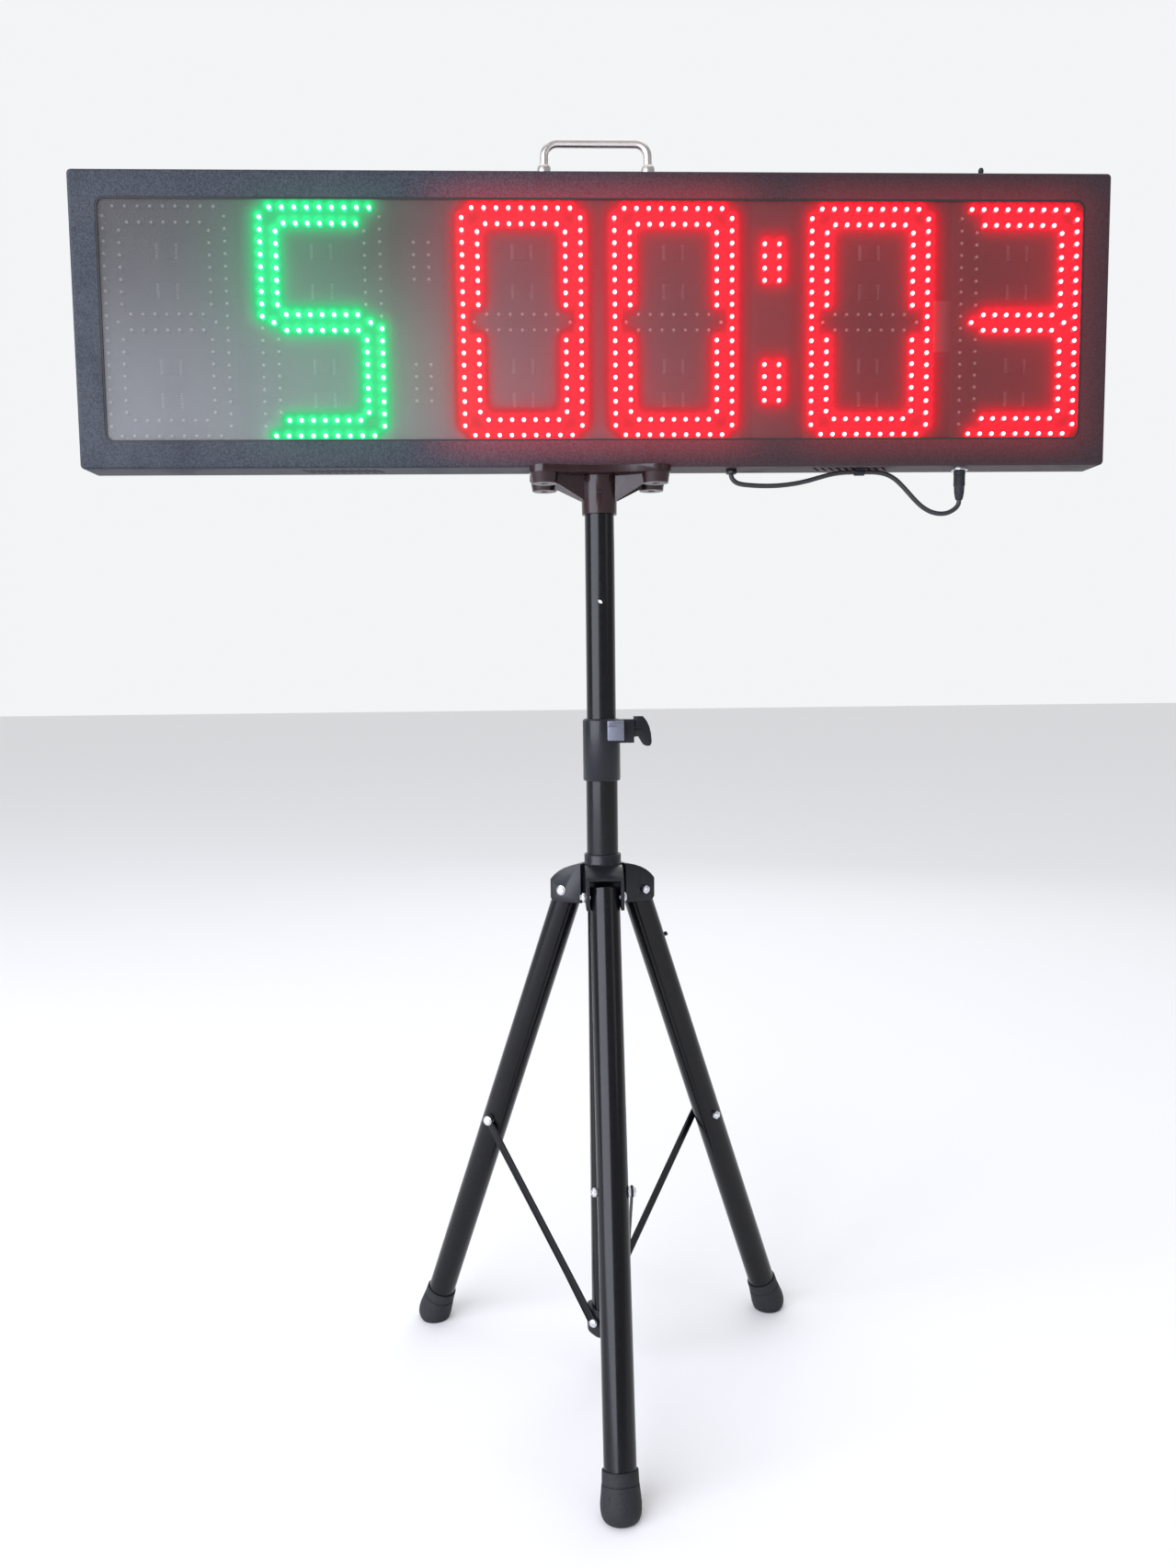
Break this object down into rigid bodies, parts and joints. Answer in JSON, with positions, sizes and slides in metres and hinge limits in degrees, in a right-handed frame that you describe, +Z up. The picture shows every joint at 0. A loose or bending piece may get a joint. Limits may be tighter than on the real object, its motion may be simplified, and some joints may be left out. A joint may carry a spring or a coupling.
{
  "type": "gym round timer",
  "caption": "Wide LED round timer in a flat black case with a carrying handle, on a telescopic pole and a folding tripod with bar braces.",
  "frame": {"origin": "on the floor, under the middle of the object's overall length and depth", "axes": "+Z up; -Y towards the side the digits face; +X to the right of a person facing the digits"},
  "size_m": [1.19, 0.439, 1.4888],
  "materials": {
    "case_coat": "pebbled black powder coat",
    "filter": "smoked sheet",
    "board": "solder mask",
    "supply_metal": "perforated sheet",
    "black_plastic": "moulded, light sheen",
    "satin_nickel": "satin nickel",
    "black_rubber": "matt",
    "zinc": "zinc plated",
    "black_tube": "gloss black powder coat"
  },
  "bodies": {
    "mast": {"mast_tube": "black_tube", "clamp_collar": "black_plastic", "lower_hub": "black_plastic"},
    "pole": {"upper_pole": "black_tube", "pole_bush": "black_plastic"},
    "display": {"front_bezel": "case_coat", "rear_cover": "case_coat", "window_filter": "filter", "digit_board_1": "board", "digit_board_2": "board", "digit_board_3": "board", "digit_board_4": "board", "digit_board_5": "board", "digit_board_6": "board", "colon_board_1": "board", "colon_board_2": "board", "control_board": "board", "power_supply": "supply_metal", "sounder": "black_plastic", "switch_body": "black_plastic", "carry_handle": "satin_nickel", "handle_ferrule_left": "satin_nickel", "handle_ferrule_right": "satin_nickel", "receiver_antenna": "black_rubber", "lead_gland": "black_plastic", "lead_socket": "zinc", "lead_plug": "black_rubber", "bridge_lead": "black_rubber", "lead_clip": "black_plastic", "pole_bracket": "black_plastic", "bracket_screw_1": "zinc", "bracket_screw_2": "zinc", "bracket_screw_3": "zinc", "bracket_screw_4": "zinc", "bracket_grub_screw": "zinc"},
    "rocker": {"switch_rocker": "black_plastic"},
    "clamp_knob": {"clamp_knob": "black_plastic"},
    "leg_hub": {"leg_hub": "black_plastic", "leg_bolt_left": "zinc", "leg_bolt_right": "zinc", "leg_bolt_front": "zinc"},
    "hub_lock_knob": {"hub_lock_knob": "black_plastic"},
    "leg_left": {"leg_left": "black_tube", "foot_left": "black_rubber", "brace_bolt_left": "zinc"},
    "brace_left": {"brace_left": "black_tube", "brace_rivet_left": "zinc"},
    "leg_right": {"leg_right": "black_tube", "foot_right": "black_rubber", "brace_bolt_right": "zinc", "strap_stud": "black_plastic"},
    "brace_right": {"brace_right": "black_tube", "brace_rivet_right": "zinc"},
    "leg_front": {"leg_front": "black_tube", "foot_front": "black_rubber", "brace_bolt_front": "zinc"},
    "brace_front": {"brace_front": "black_tube", "brace_rivet_front": "zinc"}
  },
  "joints": [
    {"name": "pole_slide", "type": "slide", "parent": "mast", "child": "pole", "axis": [0, 0, 1], "range_m": [-0.236, 0.29]},
    {"name": "display_turn", "type": "hinge", "parent": "pole", "child": "display", "pos_m": [0, 0.06588, 1.1], "axis": [0, 0, 1], "range_deg": [-180, 180]},
    {"name": "switch_rock", "type": "hinge", "parent": "display", "child": "rocker", "pos_m": [0.485, 0.08888, 1.173], "axis": [1, 0, 0], "range_deg": [-13.75, 0]},
    {"name": "clamp_knob_turn", "type": "hinge", "parent": "mast", "child": "clamp_knob", "pos_m": [0.05, 0.06588, 0.807], "axis": [1, 0, 0], "range_deg": [0, 360]},
    {"name": "hub_slide", "type": "slide", "parent": "mast", "child": "leg_hub", "axis": [0, 0, 1], "range_m": [0, 0.0616]},
    {"name": "hub_lock_turn", "type": "hinge", "parent": "leg_hub", "child": "hub_lock_knob", "pos_m": [0, 0.11588, 0.62068], "axis": [0, 1, 0], "range_deg": [0, 360]},
    {"name": "leg_fold_left", "type": "hinge", "parent": "leg_hub", "child": "leg_left", "pos_m": [-0.03984, 0.08888, 0.61268], "axis": [-0.5, -0.866, 0], "range_deg": [0, 20]},
    {"name": "brace_fold_left", "type": "hinge", "parent": "leg_left", "child": "brace_left", "pos_m": [-0.13758, 0.14531, 0.30258], "axis": [0.5, 0.866, 0], "range_deg": [0, 45]},
    {"name": "leg_fold_right", "type": "hinge", "parent": "leg_hub", "child": "leg_right", "pos_m": [0.03984, 0.08888, 0.61268], "axis": [-0.5, 0.866, 0], "range_deg": [0, 20]},
    {"name": "brace_fold_right", "type": "hinge", "parent": "leg_right", "child": "brace_right", "pos_m": [0.13758, 0.14531, 0.30258], "axis": [0.5, -0.866, 0], "range_deg": [0, 45]},
    {"name": "leg_fold_front", "type": "hinge", "parent": "leg_hub", "child": "leg_front", "pos_m": [0, 0.01988, 0.61268], "axis": [1, 0, 0], "range_deg": [0, 20]},
    {"name": "brace_fold_front", "type": "hinge", "parent": "leg_front", "child": "brace_front", "pos_m": [0, -0.09299, 0.30258], "axis": [-1, 0, 0], "range_deg": [0, 45]}
  ],
  "couplings": [
    {"joint": "leg_fold_left", "follows": "hub_slide", "rad_per_m": 5.6648},
    {"joint": "brace_fold_left", "follows": "hub_slide", "rad_per_m": 12.72},
    {"joint": "leg_fold_right", "follows": "hub_slide", "rad_per_m": 5.6648},
    {"joint": "brace_fold_right", "follows": "hub_slide", "rad_per_m": 12.72},
    {"joint": "leg_fold_front", "follows": "hub_slide", "rad_per_m": 5.6648},
    {"joint": "brace_fold_front", "follows": "hub_slide", "rad_per_m": 12.72}
  ]
}
